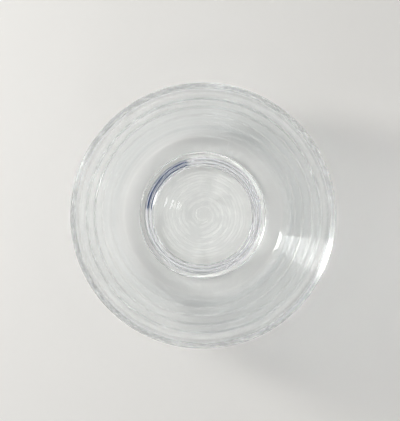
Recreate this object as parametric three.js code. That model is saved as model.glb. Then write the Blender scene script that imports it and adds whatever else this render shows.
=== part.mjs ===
import * as THREE from "three";

// Crystallizing dish in millimetres, +Z up. It stands on z = 0 with its axis on x = y = 0.

// driving sizes
const rimRadius = 47.5;
const dishHeight = 55;
const lipThickness = 1.9;
const heelThickness = 2.5;
const floorThickness = 3;

// the base, from the outside in
const floorRadius = 29.9; // where the flat floor turns up into the heel
const footOuterRadius = 23.9; // where the foot's fillet runs out into the floor
const footInnerRadius = 18.4; // the foot is a cone from here down to the bearing flat
const bearingRadius = 22.7;
const bearingWidth = 1; // flat of the foot that touches the bench
const footDepth = 3.6; // how far the floor hangs above the bench
const kickHeight = 0.8; // rise of the pushed-up centre

// the wall is a superellipse: 2 would be an ellipse, less makes the wall lean out more evenly
const wallSquareness = 1.5;

// facets
const turnSteps = 64;
const wallSteps = 16;
const lipSteps = 6;
const edgeSteps = 3;
const kickSteps = 4;

// quarter of a superellipse from a flat start on the floor to an upright end at the lip
function wallCurve(startRadius, startHeight, endRadius, endHeight) {
  const points = [];
  for (let step = 0; step <= wallSteps; step += 1) {
    const turn = (Math.PI / 2) * (step / wallSteps);
    const across = Math.sin(turn) ** (2 / wallSquareness);
    const below = Math.cos(turn) ** (2 / wallSquareness);
    const radius = startRadius + (endRadius - startRadius) * across;
    const height = endHeight - (endHeight - startHeight) * below;
    points.push(new THREE.Vector2(radius, height));
  }
  return points;
}

// outside of the foot, from the bearing flat up: a round edge, an upright side and a fillet
function footOutside(startRadius, endRadius, endHeight) {
  const edge = (endRadius - startRadius) / 2;
  const points = [];
  for (let step = 1; step <= edgeSteps; step += 1) {
    const turn = (Math.PI / 2) * (step / edgeSteps);
    const radius = startRadius + edge * Math.sin(turn);
    points.push(new THREE.Vector2(radius, edge * (1 - Math.cos(turn))));
  }
  for (let step = 0; step <= edgeSteps; step += 1) {
    const turn = (Math.PI / 2) * (step / edgeSteps);
    const radius = endRadius - edge * Math.cos(turn);
    points.push(new THREE.Vector2(radius, endHeight - edge * (1 - Math.sin(turn))));
  }
  return points;
}

// smooth rise of the kick, from the axis out to the foot
function kickCurve(baseHeight) {
  const points = [];
  for (let step = 0; step <= kickSteps; step += 1) {
    const share = step / kickSteps;
    const rise = kickHeight * (0.5 + 0.5 * Math.cos(Math.PI * share));
    points.push(new THREE.Vector2(footInnerRadius * share, baseHeight + rise));
  }
  return points;
}

// rounded lip, from the outer wall over the top to the inner wall
function lipCurve() {
  const lipRadius = lipThickness / 2;
  const points = [];
  for (let step = 1; step < lipSteps; step += 1) {
    const turn = Math.PI * (step / lipSteps);
    const radius = rimRadius - lipRadius + lipRadius * Math.cos(turn);
    const height = dishHeight - lipRadius + lipRadius * Math.sin(turn);
    points.push(new THREE.Vector2(radius, height));
  }
  return points;
}

// closed outline from the axis under the dish, round the lip, and back to the axis inside it
function dishOutline() {
  const lipRadius = lipThickness / 2;
  const wallTop = dishHeight - lipRadius;
  const innerFloor = footDepth + floorThickness;
  const bearingInner = bearingRadius - bearingWidth / 2;
  const bearingOuter = bearingRadius + bearingWidth / 2;
  const underKick = kickCurve(footDepth);
  const outerWall = wallCurve(floorRadius, footDepth, rimRadius, wallTop);
  const innerStart = floorRadius - (heelThickness - lipThickness);
  const innerWall = wallCurve(innerStart, innerFloor, rimRadius - lipThickness, wallTop);
  const aboveKick = kickCurve(innerFloor);
  return [
    ...underKick,
    new THREE.Vector2(bearingInner, 0),
    new THREE.Vector2(bearingOuter, 0),
    ...footOutside(bearingOuter, footOuterRadius, footDepth),
    ...outerWall,
    ...lipCurve(),
    ...innerWall.reverse(),
    ...aboveKick.reverse(),
  ];
}

function makeDish() {
  const glass = new THREE.MeshStandardMaterial({ color: 0xdce6e6, roughness: 0.05, metalness: 0 });
  const shape = new THREE.LatheGeometry(dishOutline(), turnSteps);
  shape.rotateX(Math.PI / 2);
  const mesh = new THREE.Mesh(shape, glass);
  mesh.name = "dish";
  return mesh;
}

const crystallizingDish = new THREE.Group();
crystallizingDish.add(makeDish());

export default crystallizingDish;
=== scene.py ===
import math
import bmesh
import bpy
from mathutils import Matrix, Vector


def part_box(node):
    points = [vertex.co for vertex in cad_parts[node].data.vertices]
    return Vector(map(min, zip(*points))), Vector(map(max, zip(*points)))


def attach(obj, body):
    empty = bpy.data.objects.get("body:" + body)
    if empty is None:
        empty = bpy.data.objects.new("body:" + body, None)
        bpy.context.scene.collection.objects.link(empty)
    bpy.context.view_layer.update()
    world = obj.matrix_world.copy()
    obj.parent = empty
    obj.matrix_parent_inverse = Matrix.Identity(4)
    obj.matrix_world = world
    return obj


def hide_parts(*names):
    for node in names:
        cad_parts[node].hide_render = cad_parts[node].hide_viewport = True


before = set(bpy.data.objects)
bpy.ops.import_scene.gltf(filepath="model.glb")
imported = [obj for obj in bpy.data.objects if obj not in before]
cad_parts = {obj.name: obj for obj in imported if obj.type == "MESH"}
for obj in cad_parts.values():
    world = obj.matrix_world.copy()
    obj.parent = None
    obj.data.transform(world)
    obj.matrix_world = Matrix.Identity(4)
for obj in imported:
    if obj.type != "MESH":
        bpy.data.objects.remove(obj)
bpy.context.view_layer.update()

dishLow, dishHigh = [Vector(corner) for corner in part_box("dish")]
rimRadius = (dishHigh.x - dishLow.x) / 2
dishHeight = dishHigh.z - dishLow.z
rimCentre = Vector((0, 0, dishHigh.z))
print("frame loaded, rim radius", round(rimRadius, 4), "height", round(dishHeight, 4))


# one output socket, so that node maths reads as Python
class Wire:
    def __init__(self, tree, socket):
        self.tree = tree
        self.socket = socket

    def out(self, name):
        return Wire(self.tree, self.socket.node.outputs[name])

    def maths(self, operation, *others):
        return self.tree.add("ShaderNodeMath", {"operation": operation}, [self, *others])

    def __add__(self, other):
        return self.maths("ADD", other)

    def __radd__(self, other):
        return self.maths("ADD", other)

    def __sub__(self, other):
        return self.maths("SUBTRACT", other)

    def __rsub__(self, other):
        return self.tree.add("ShaderNodeMath", {"operation": "SUBTRACT"}, [other, self])

    def __mul__(self, other):
        return self.maths("MULTIPLY", other)

    def __rmul__(self, other):
        return self.maths("MULTIPLY", other)

    def __truediv__(self, other):
        return self.maths("DIVIDE", other)

    def fade(self, start, end):  # 0 before start, 1 after end
        settings = {"interpolation_type": "SMOOTHSTEP"}
        return self.tree.add("ShaderNodeMapRange", settings, {0: self, 1: start, 2: end})


class Tree:
    def __init__(self, nodeTree):
        self.nodeTree = nodeTree

    # settings are set before the sockets; a list or a dict gives the sockets' values and links
    def add(self, kind, settings=None, sockets=None):
        node = self.nodeTree.nodes.new(kind)
        for name, value in (settings or {}).items():
            if name == "stops":
                ramp = node.color_ramp
                while len(ramp.elements) < len(value):
                    ramp.elements.new(0.5)
                for element, (place, colour) in zip(ramp.elements, value):
                    element.position = place
                    element.color = colour
            else:
                setattr(node, name, value)
        pairs = sockets.items() if isinstance(sockets, dict) else enumerate(sockets or [])
        for name, value in pairs:
            if isinstance(value, Wire):
                self.nodeTree.links.new(value.socket, node.inputs[name])
            else:
                node.inputs[name].default_value = value
        return Wire(self, node.outputs[0] if node.outputs else None)


# the lens hangs over the dish, a little off its axis
cameraView = {
    "aboveRim": 1.0,         # metres from the lens to the rim's plane
    "rimShare": 0.3159,      # rim radius as a share of the frame's longer side
    "offAxis": (-0.00107, 0.00182),  # the lens stands this far off the dish's axis
    "sensor": 36,
}


def makeCamera():
    camera = bpy.data.cameras.new("camera")
    camera.sensor_width = cameraView["sensor"]
    camera.lens = cameraView["sensor"] * cameraView["rimShare"] * cameraView["aboveRim"] / rimRadius
    camera.clip_start = 0.01
    cameraObject = bpy.data.objects.new("camera", camera)
    bpy.context.collection.objects.link(cameraObject)
    cameraObject.location = rimCentre + Vector((*cameraView["offAxis"], cameraView["aboveRim"]))
    bpy.context.scene.camera = cameraObject


makeCamera()
print("camera placed")


# the dish: one revolved piece of glass, its outline in metres
dish = {
    "lipThickness": 0.0019,
    "heelThickness": 0.0025,
    "floorThickness": 0.003,
    "floorRadius": 0.0299,
    "footOuterRadius": 0.0239,
    "footInnerRadius": 0.0184,
    "bearingRadius": 0.0227,
    "bearingWidth": 0.001,
    "footDepth": 0.0036,
    "kickHeight": 0.0008,
    "wallSquareness": 1.5,
    "turnSteps": 304,
    "wallSteps": 84,
    "kickSteps": 44,
    "floorSteps": 8,
    "lipSteps": 16,
    "footSteps": 20,
    "edgeSteps": 6,
    "ringHeight": 0.00009,   # turning rings in the wall, which run round it and die away
    "ringSpacing": 0.0029,
    "ringWander": 0.3,
    "swirlHeight": 0.00012,  # rings and swirl left in the floor's centre
    "swirlSpacing": 0.0023,
    "flankWave": 0.00003,    # waves on the foot's inner flank
    "seed": 4.0,
}


def smoothStep(low, high, value):
    share = min(max((value - low) / (high - low), 0), 1)
    return share * share * (3 - 2 * share)


# superellipse from the floor, flat, up to the lip, upright
def wallCurve(startRadius, startHeight, endRadius, endHeight):
    points = []
    power = 2 / dish["wallSquareness"]
    for step in range(dish["wallSteps"] + 1):
        turn = math.pi / 2 * step / dish["wallSteps"]
        radius = startRadius + (endRadius - startRadius) * math.sin(turn) ** power
        height = endHeight - (endHeight - startHeight) * math.cos(turn) ** power
        points.append((radius, height))
    return points


# the foot's inner flank, a cone from the pushed-up floor down to the bearing flat
def innerFlank(startRadius, endRadius, startHeight):
    points = []
    for step in range(1, dish["footSteps"] + 1):
        share = step / dish["footSteps"]
        points.append((startRadius + (endRadius - startRadius) * share, startHeight * (1 - share)))
    return points


# the foot's outer flank: a round edge, an upright side and a fillet under the floor
def outerFlank(startRadius, endRadius, endHeight):
    points = []
    edge = (endRadius - startRadius) / 2
    for step in range(1, dish["edgeSteps"] + 1):
        turn = math.pi / 2 * step / dish["edgeSteps"]
        points.append((startRadius + edge * math.sin(turn), edge * (1 - math.cos(turn))))
    for step in range(dish["edgeSteps"] + 1):
        turn = math.pi / 2 * step / dish["edgeSteps"]
        points.append((endRadius - edge * math.cos(turn), endHeight - edge * (1 - math.sin(turn))))
    return points


def kickCurve(baseHeight):
    points = []
    for step in range(dish["kickSteps"] + 1):
        share = step / dish["kickSteps"]
        rise = dish["kickHeight"] * (0.5 + 0.5 * math.cos(math.pi * share))
        points.append((dish["footInnerRadius"] * share, baseHeight + rise))
    return points


# points between two radii at one height, without the ends
def flatStretch(startRadius, endRadius, height):
    steps = dish["floorSteps"]
    reach = endRadius - startRadius
    return [(startRadius + reach * step / steps, height) for step in range(1, steps)]


# from the axis under the dish, round the lip, and back to the axis inside it
def dishOutline():
    lipRadius = dish["lipThickness"] / 2
    wallTop = dishHeight - lipRadius
    innerFloor = dish["footDepth"] + dish["floorThickness"]
    bearingInner = dish["bearingRadius"] - dish["bearingWidth"] / 2
    bearingOuter = dish["bearingRadius"] + dish["bearingWidth"] / 2
    innerStart = dish["floorRadius"] - (dish["heelThickness"] - dish["lipThickness"])
    points = kickCurve(dish["footDepth"])
    points += innerFlank(dish["footInnerRadius"], bearingInner, dish["footDepth"])
    points += [(bearingOuter, 0)]
    points += outerFlank(bearingOuter, dish["footOuterRadius"], dish["footDepth"])
    points += flatStretch(dish["footOuterRadius"], dish["floorRadius"], dish["footDepth"])
    points += wallCurve(dish["floorRadius"], dish["footDepth"], rimRadius, wallTop)
    for step in range(1, dish["lipSteps"]):
        turn = math.pi * step / dish["lipSteps"]
        radius = rimRadius - lipRadius + lipRadius * math.cos(turn)
        points.append((radius, wallTop + lipRadius * math.sin(turn)))
    points += wallCurve(innerStart, innerFloor, rimRadius - dish["lipThickness"], wallTop)[::-1]
    points += flatStretch(innerStart, dish["footInnerRadius"], innerFloor)
    points += kickCurve(innerFloor)[::-1]
    return points


# the outline as a row of points, each with the way out of the glass there, and its relief:
# ring height, swirl height, and 1 on the inner surface
def outlineMesh():
    points = dishOutline()
    mesh = bpy.data.meshes.new("dishOutline")
    mesh.from_pydata([(radius, 0, height) for radius, height in points], [], [])
    outward = mesh.attributes.new("outward", "FLOAT_VECTOR", "POINT")
    relief = mesh.attributes.new("relief", "FLOAT_VECTOR", "POINT")
    lipIndex = max(range(len(points)), key=lambda index: points[index][1])
    for index, (radius, height) in enumerate(points):
        before = points[max(index - 1, 0)]
        after = points[min(index + 1, len(points) - 1)]
        along = Vector((after[0] - before[0], after[1] - before[1])).normalized()
        outward.data[index].vector = (along.y, 0, -along.x)
        onWall = smoothStep(dish["floorRadius"] * 0.98, dish["floorRadius"] * 1.08, radius)
        belowLip = 1 - smoothStep(dishHeight * 0.6, dishHeight * 0.97, height)
        offAxis = smoothStep(0, dish["swirlSpacing"], radius)
        onKick = 1 - smoothStep(dish["footInnerRadius"] * 0.85, dish["footInnerRadius"], radius)
        inside = 1 if index > lipIndex else 0
        swirl = dish["swirlHeight"] * offAxis * onKick
        if not inside and dish["footInnerRadius"] < radius < dish["bearingRadius"]:
            swirl = dish["flankWave"]
        relief.data[index].vector = (dish["ringHeight"] * onWall * belowLip, swirl, inside)
    return mesh


def revolveTree():
    nodeTree = bpy.data.node_groups.new("revolveWithRelief", "GeometryNodeTree")
    face = nodeTree.interface
    face.new_socket("Outline", in_out="INPUT", socket_type="NodeSocketGeometry")
    for name in ("Turn Steps", "Outline Points"):
        face.new_socket(name, in_out="INPUT", socket_type="NodeSocketInt")
    for name in ("Ring Spacing", "Ring Wander", "Swirl Spacing", "Foot Radius", "Seed"):
        face.new_socket(name, in_out="INPUT", socket_type="NodeSocketFloat")
    face.new_socket("Glass", in_out="INPUT", socket_type="NodeSocketMaterial")
    face.new_socket("Dish", in_out="OUTPUT", socket_type="NodeSocketGeometry")
    tree = Tree(nodeTree)
    given = tree.add("NodeGroupInput")

    # a flat grid: X goes round the dish, Y goes along the outline
    turnCount = given.out("Turn Steps") + 1
    outlineCount = given.out("Outline Points")
    grid = tree.add("GeometryNodeMeshGrid", {}, {"Size X": 1, "Size Y": 1, "Vertices X": turnCount,
                                                 "Vertices Y": outlineCount})
    place = tree.add("ShaderNodeSeparateXYZ", {}, [tree.add("GeometryNodeInputPosition")])
    turn = (place.out("X") + 0.5) * math.tau
    cosine = turn.maths("COSINE")
    sine = turn.maths("SINE")
    index = ((place.out("Y") + 0.5) * (outlineCount - 1)).maths("ROUND")

    def fromOutline(value):
        found = tree.add("GeometryNodeSampleIndex", {"data_type": "FLOAT_VECTOR"},
                         {"Geometry": given.out("Outline"), "Value": value, "Index": index})
        return tree.add("ShaderNodeSeparateXYZ", {}, [found])

    def attribute(name):
        return tree.add("GeometryNodeInputNamedAttribute", {"data_type": "FLOAT_VECTOR"}, {"Name": name})

    point = fromOutline(tree.add("GeometryNodeInputPosition"))
    outward = fromOutline(attribute("outward"))
    relief = fromOutline(attribute("relief"))
    radius = point.out("X")

    # rings: waves across the wall, whose height and place drift slowly round it
    wander = given.out("Ring Wander")
    ringCount = radius / given.out("Ring Spacing")
    side = relief.out("Z") * 5
    ringPlace = tree.add("ShaderNodeCombineXYZ", {}, [cosine * wander, sine * wander,
                                                      ringCount * 0.4 + side])
    ringNoise = tree.add("ShaderNodeTexNoise", {"noise_dimensions": "4D"}, {
        "Vector": ringPlace, "W": given.out("Seed"), "Scale": 1, "Detail": 1, "Roughness": 0.4})
    ringPhase = ringCount * math.tau + ringNoise * 3 + side
    rings = ringPhase.maths("SINE") * ringNoise.fade(0.15, 0.6) * relief.out("X")

    # swirl: rings on the floor, pushed about by a slow noise
    swirlPlace = tree.add("ShaderNodeCombineXYZ", {}, [cosine * radius * 120, sine * radius * 120, side])
    swirlNoise = tree.add("ShaderNodeTexNoise", {"noise_dimensions": "4D"}, {
        "Vector": swirlPlace, "W": given.out("Seed") + 7, "Scale": 1, "Detail": 1})
    onFlank = radius.fade(given.out("Foot Radius"), given.out("Foot Radius") + 0.0002)
    stir = 2 + (1 - radius.fade(0.003, 0.009)) * 9
    spacing = given.out("Swirl Spacing") * (1 - 0.4 * onFlank)
    swirlPhase = radius / spacing * math.tau + swirlNoise * stir + turn
    wave = swirlPhase.maths("SINE")
    ridge = wave * 0.5 + 0.5
    onFloor = wave * swirlNoise.fade(0.3, 0.65) * (1 - onFlank)
    swirl = (onFloor + ridge * ridge * ridge * onFlank) * relief.out("Y")

    depth = rings + swirl
    outX = radius + outward.out("X") * depth
    outZ = point.out("Z") + outward.out("Z") * depth
    newPlace = tree.add("ShaderNodeCombineXYZ", {}, [cosine * outX, sine * outX, outZ])
    shell = tree.add("GeometryNodeSetPosition", {}, {"Geometry": grid, "Position": newPlace})
    joined = tree.add("GeometryNodeMergeByDistance", {}, {"Geometry": shell, "Distance": 1e-6})
    smooth = tree.add("GeometryNodeSetShadeSmooth", {}, {"Geometry": joined})
    real = tree.add("GeometryNodeRealizeInstances", {}, [smooth])
    painted = tree.add("GeometryNodeSetMaterial", {}, {"Geometry": real, "Material": given.out("Glass")})
    tree.add("NodeGroupOutput", {}, [painted])
    return nodeTree


# painted stripes of shade: faint grey rings painted into the wall's colour, a stand-in for soft light
# stripes
paintedStripes = {
    "spacing": 0.0029,
    "wander": 1.8,
    "from": (0.0300, 0.0325),    # radii where they start and die away
    "to": (0.0450, 0.0472),
    "clear": (0.985, 0.996, 1.0, 1),
    "grey": (0.84, 0.87, 0.88, 1),
}

glass = {
    "ior": 1.474,
    "scuff": 0.12,               # roughness where the foot slides on the bench
    "lipHaze": 0.25,             # roughness at the top of the lip
    "lipBelow": (0.002, 0.0008),  # metres under the top where the haze starts and is full
    "skinStrength": 0.05,        # fine drawn lines in the skin
    "skinDistance": 0.0002,
}


def makeGlass():
    material = bpy.data.materials.new("clearGlass")
    material.use_nodes = True
    material.node_tree.nodes.clear()
    tree = Tree(material.node_tree)
    place = tree.add("ShaderNodeTexCoord").out("Object")
    parts = tree.add("ShaderNodeSeparateXYZ", {}, [place])
    height = parts.out("Z")

    scuff = tree.add("ShaderNodeTexNoise", {}, {"Vector": place, "Scale": 900, "Detail": 3})
    worn = (1 - height.fade(0.0001, 0.0006)) * scuff.fade(0.42, 0.62)
    hazeStart, hazeFull = glass["lipBelow"]
    lipHaze = height.fade(dishHeight - hazeStart, dishHeight - hazeFull) * glass["lipHaze"]
    roughness = worn * glass["scuff"] + lipHaze

    skinPlace = tree.add("ShaderNodeMapping", {}, {"Vector": place, "Scale": (40, 40, 260)})
    skin = tree.add("ShaderNodeTexNoise", {}, {"Vector": skinPlace, "Scale": 1, "Detail": 2})
    bump = tree.add("ShaderNodeBump", {}, {
        "Strength": glass["skinStrength"], "Distance": glass["skinDistance"], "Height": skin})

    radius = (parts.out("X") * parts.out("X") + parts.out("Y") * parts.out("Y")).maths("SQRT")
    stripePlace = tree.add("ShaderNodeMapping", {}, {"Vector": place, "Scale": (26, 26, 26)})
    stripeNoise = tree.add("ShaderNodeTexNoise", {}, {"Vector": stripePlace, "Scale": 1, "Detail": 1})
    stripePhase = radius / paintedStripes["spacing"] * math.tau + stripeNoise * paintedStripes["wander"]
    onWall = radius.fade(*paintedStripes["from"]) * (1 - radius.fade(*paintedStripes["to"]))
    wave = stripePhase.maths("SINE") * 0.5 + 0.5
    # painted shade: the glass's colour turns grey in rings on the wall, standing in for stripes of light
    paintedStripe = (1 - wave * wave) * stripeNoise.fade(0.1, 0.6) * onWall
    tintAndPaintedStripes = tree.add("ShaderNodeMix", {"data_type": "RGBA"}, {
        0: paintedStripe, 6: paintedStripes["clear"], 7: paintedStripes["grey"]}).out(2)

    # the base colour is the glass's own faint tint with the painted shade stripes mixed in
    shader = tree.add("ShaderNodeBsdfPrincipled", {}, {
        "Base Color": tintAndPaintedStripes, "Roughness": roughness, "IOR": glass["ior"],
        "Transmission Weight": 1, "Normal": bump})
    tree.add("ShaderNodeOutputMaterial", {}, {"Surface": shader})
    return material


def makeDish():
    helper = bpy.data.objects.new("dishHelper", outlineMesh())
    bpy.context.collection.objects.link(helper)
    nodeTree = revolveTree()
    modifier = helper.modifiers.new("revolve", "NODES")
    modifier.node_group = nodeTree
    given = {
        "Turn Steps": dish["turnSteps"],
        "Outline Points": len(helper.data.vertices),
        "Ring Spacing": dish["ringSpacing"],
        "Ring Wander": dish["ringWander"],
        "Swirl Spacing": dish["swirlSpacing"],
        "Foot Radius": dish["footInnerRadius"],
        "Seed": dish["seed"],
        "Glass": makeGlass(),
    }
    for item in nodeTree.interface.items_tree:
        if item.name in given:
            modifier[item.identifier] = given[item.name]
    depsgraph = bpy.context.evaluated_depsgraph_get()
    evaluated = helper.evaluated_get(depsgraph)
    mesh = bpy.data.meshes.new_from_object(evaluated, depsgraph=depsgraph)
    bpy.data.objects.remove(helper)
    shell = bmesh.new()
    shell.from_mesh(mesh)
    bmesh.ops.recalc_face_normals(shell, faces=shell.faces)
    shell.to_mesh(mesh)
    shell.free()
    mesh.name = "blownDish"
    piece = bpy.data.objects.new("blownDish", mesh)
    bpy.context.collection.objects.link(piece)
    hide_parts("dish")
    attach(piece, "root")
    print("dish made,", len(mesh.polygons), "faces")


makeDish()


# the bench and the room around it
room = {
    "benchSize": 8.0,
    "gapUnderDish": 0.0002,
    "benchColour": (0.80, 0.792, 0.772, 1),
    # the room's light by height: level with the bench, the walls, the ceiling, straight overhead
    "levels": [
        (0.0, (0.84, 0.86, 0.88, 1)), (0.2, (0.3, 0.305, 0.31, 1)), (0.84, (0.3, 0.3, 0.3, 1)),
        (0.9, (1.92, 1.9, 1.83, 1)), (0.94, (1.92, 1.9, 1.83, 1)), (0.965, (0.08, 0.08, 0.09, 1)),
    ],
    "figure": {"turn": 140, "halfWidth": 32, "from": 0.0, "to": 0.3, "colour": (0.03, 0.06, 0.15, 1)},
}

# turn: degrees from +X towards +Y, rise: degrees above the bench
windows = {
    "sideWindow": {"turn": 161, "rise": 40, "away": 0.5, "size": (0.086, 0.3), "watts": 1.3,
                   "colour": (1, 0.985, 0.965)},
    "upperPane": {"turn": 161, "rise": 64, "away": 0.7, "size": (0.08, 0.06), "watts": 0.08,
                  "colour": (1, 0.99, 0.98)},
    "frontWindow": {"turn": 260, "rise": 42, "away": 0.9, "size": (0.2, 0.3), "watts": 0.45,
                    "colour": (0.95, 0.97, 1)},
}


def makeBench():
    top = dishLow.z - room["gapUnderDish"]
    bpy.ops.mesh.primitive_plane_add(size=room["benchSize"], location=(0, 0, top))
    bench = bpy.context.object
    bench.name = "bench"
    material = bpy.data.materials.new("paleBench")
    material.use_nodes = True
    shader = material.node_tree.nodes["Principled BSDF"]
    shader.inputs["Base Color"].default_value = room["benchColour"]
    shader.inputs["Roughness"].default_value = 0.6
    bench.data.materials.append(material)


def makeWindow(name, values):
    turn = math.radians(values["turn"])
    rise = math.radians(values["rise"])
    level = math.cos(rise)
    toLight = Vector((math.cos(turn) * level, math.sin(turn) * level, math.sin(rise)))
    light = bpy.data.lights.new(name, "AREA")
    light.shape = "RECTANGLE"
    light.size, light.size_y = values["size"]
    light.energy = values["watts"]
    light.color = values["colour"]
    lamp = bpy.data.objects.new(name, light)
    bpy.context.collection.objects.link(lamp)
    lamp.location = toLight * values["away"]
    lamp.rotation_euler = toLight.to_track_quat("Z", "Y").to_euler()


def makeWorld():
    world = bpy.data.worlds.new("room")
    world.use_nodes = True
    world.node_tree.nodes.clear()
    tree = Tree(world.node_tree)
    look = tree.add("ShaderNodeSeparateXYZ", {}, [tree.add("ShaderNodeTexCoord").out("Generated")])
    upwards = look.out("Z").maths("ABSOLUTE")
    shade = tree.add("ShaderNodeValToRGB", {"stops": room["levels"]}, [upwards])

    # a dark blue shape by the side window, which the foot mirrors
    figure = room["figure"]
    facing = math.radians(figure["turn"])
    towards = look.out("X") * math.cos(facing) + look.out("Y") * math.sin(facing)
    level = (1 - upwards * upwards).maths("SQRT")
    inSector = (towards / level).fade(math.cos(math.radians(figure["halfWidth"] + 3)),
                                      math.cos(math.radians(figure["halfWidth"])))
    inHeight = upwards.fade(figure["from"] - 0.03, figure["from"]) * (
        1 - upwards.fade(figure["to"], figure["to"] + 0.03))
    withFigure = tree.add("ShaderNodeMix", {"data_type": "RGBA"}, {
        0: inSector * inHeight, 6: shade.out("Color"), 7: figure["colour"]}).out(2)
    background = tree.add("ShaderNodeBackground", {}, {"Color": withFigure, "Strength": 1})
    tree.add("ShaderNodeOutputWorld", {}, [background])
    bpy.context.scene.world = world


makeBench()
for windowName, windowValues in windows.items():
    makeWindow(windowName, windowValues)
makeWorld()
bpy.context.scene.view_settings.view_transform = "Standard"


# light crosses many glass faces in the lip and the foot before it gets out again
def letLightThrough():
    cycles = bpy.context.scene.cycles
    cycles.max_bounces = 64
    cycles.transmission_bounces = 64
    cycles.glossy_bounces = 64
    cycles.blur_glossy = 0
    cycles.sample_clamp_indirect = 0


letLightThrough()
print("bench, windows and room made")
